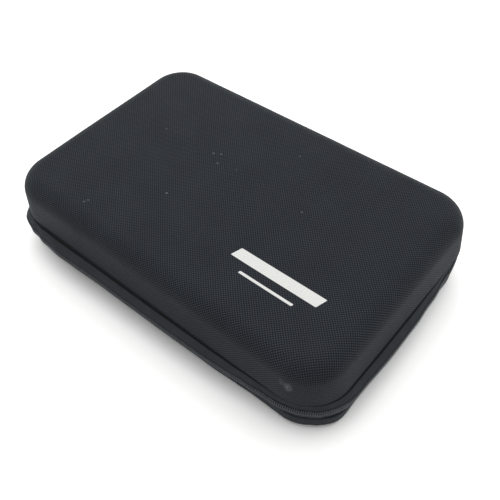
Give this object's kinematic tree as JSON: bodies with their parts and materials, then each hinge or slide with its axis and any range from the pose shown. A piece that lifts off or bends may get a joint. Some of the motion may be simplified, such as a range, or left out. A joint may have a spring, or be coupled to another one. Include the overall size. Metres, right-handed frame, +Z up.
{
  "type": "zip-up carrying case",
  "caption": "Moulded fabric-covered hard case with a hinged lid, a zip round three sides, a foam insert with wells and a net pocket in the lid.",
  "frame": {"origin": "middle of the flat bottom of the base, on the surface that the case stands on", "axes": "+X along the case, +Y towards the hinge at the back, +Z up"},
  "size_m": [0.3445, 0.221, 0.0765],
  "materials": {
    "woven_skin": "black woven nylon laminated to the foam",
    "moulded_foam": "closed-cell moulded foam, matt",
    "lining": "knitted lining, matt",
    "zip_tape": "woven polyester tape",
    "zip_coil": "nylon coil, satin",
    "binding": "ribbed nylon binding",
    "hinge_webbing": "woven nylon strip",
    "insert_foam": "cut foam, open texture",
    "net": "open knitted net",
    "elastic": "ribbed elastic",
    "slider_metal": "dark painted die casting",
    "pull_rubber": "moulded soft plastic, satin"
  },
  "bodies": {
    "base": {"base_skin": "woven_skin", "base_core": "moulded_foam", "base_lining": "lining", "base_zip_tape": "zip_tape", "base_zip_coil": "zip_coil", "base_binding": "binding", "hinge_strip_lower": "hinge_webbing", "zip_end_tabs_lower": "binding", "foam_floor_pad": "insert_foam", "foam_insert": "insert_foam"},
    "lid": {"lid_skin": "woven_skin", "lid_core": "moulded_foam", "lid_lining": "lining", "lid_zip_tape": "zip_tape", "lid_zip_coil": "zip_coil", "lid_binding": "binding", "hinge_strip_upper": "hinge_webbing", "zip_end_tabs_upper": "binding", "lid_foam_pad": "insert_foam", "pocket_net": "net", "pocket_elastic": "elastic", "pocket_binding": "binding"},
    "front_slider": {"slider_front": "slider_metal", "slider_bridge_front": "slider_metal"},
    "rear_slider": {"slider_rear": "slider_metal", "slider_bridge_rear": "slider_metal"},
    "front_pull": {"pull_link_front": "slider_metal", "pull_grip_front": "pull_rubber"},
    "rear_pull": {"pull_link_rear": "slider_metal", "pull_grip_rear": "pull_rubber"}
  },
  "joints": [
    {"name": "lid_hinge", "type": "hinge", "parent": "base", "child": "lid", "pos_m": [0, 0.1105, 0.0275], "axis": [-1, 0, 0], "range_deg": [0, 138]},
    {"name": "front_slide", "type": "slide", "parent": "base", "child": "front_slider", "axis": [0, -1, 0], "range_m": [0, 0.04]},
    {"name": "rear_slide", "type": "slide", "parent": "base", "child": "rear_slider", "axis": [0, 1, 0], "range_m": [0, 0.04]},
    {"name": "front_pull_swing", "type": "hinge", "parent": "front_slider", "child": "front_pull", "pos_m": [-0.17335, -0.0085, 0.0275], "axis": [0, 1, 0], "range_deg": [-10, 165]},
    {"name": "rear_pull_swing", "type": "hinge", "parent": "rear_slider", "child": "rear_pull", "pos_m": [-0.17335, 0.0085, 0.0275], "axis": [0, 1, 0], "range_deg": [-10, 165]}
  ]
}
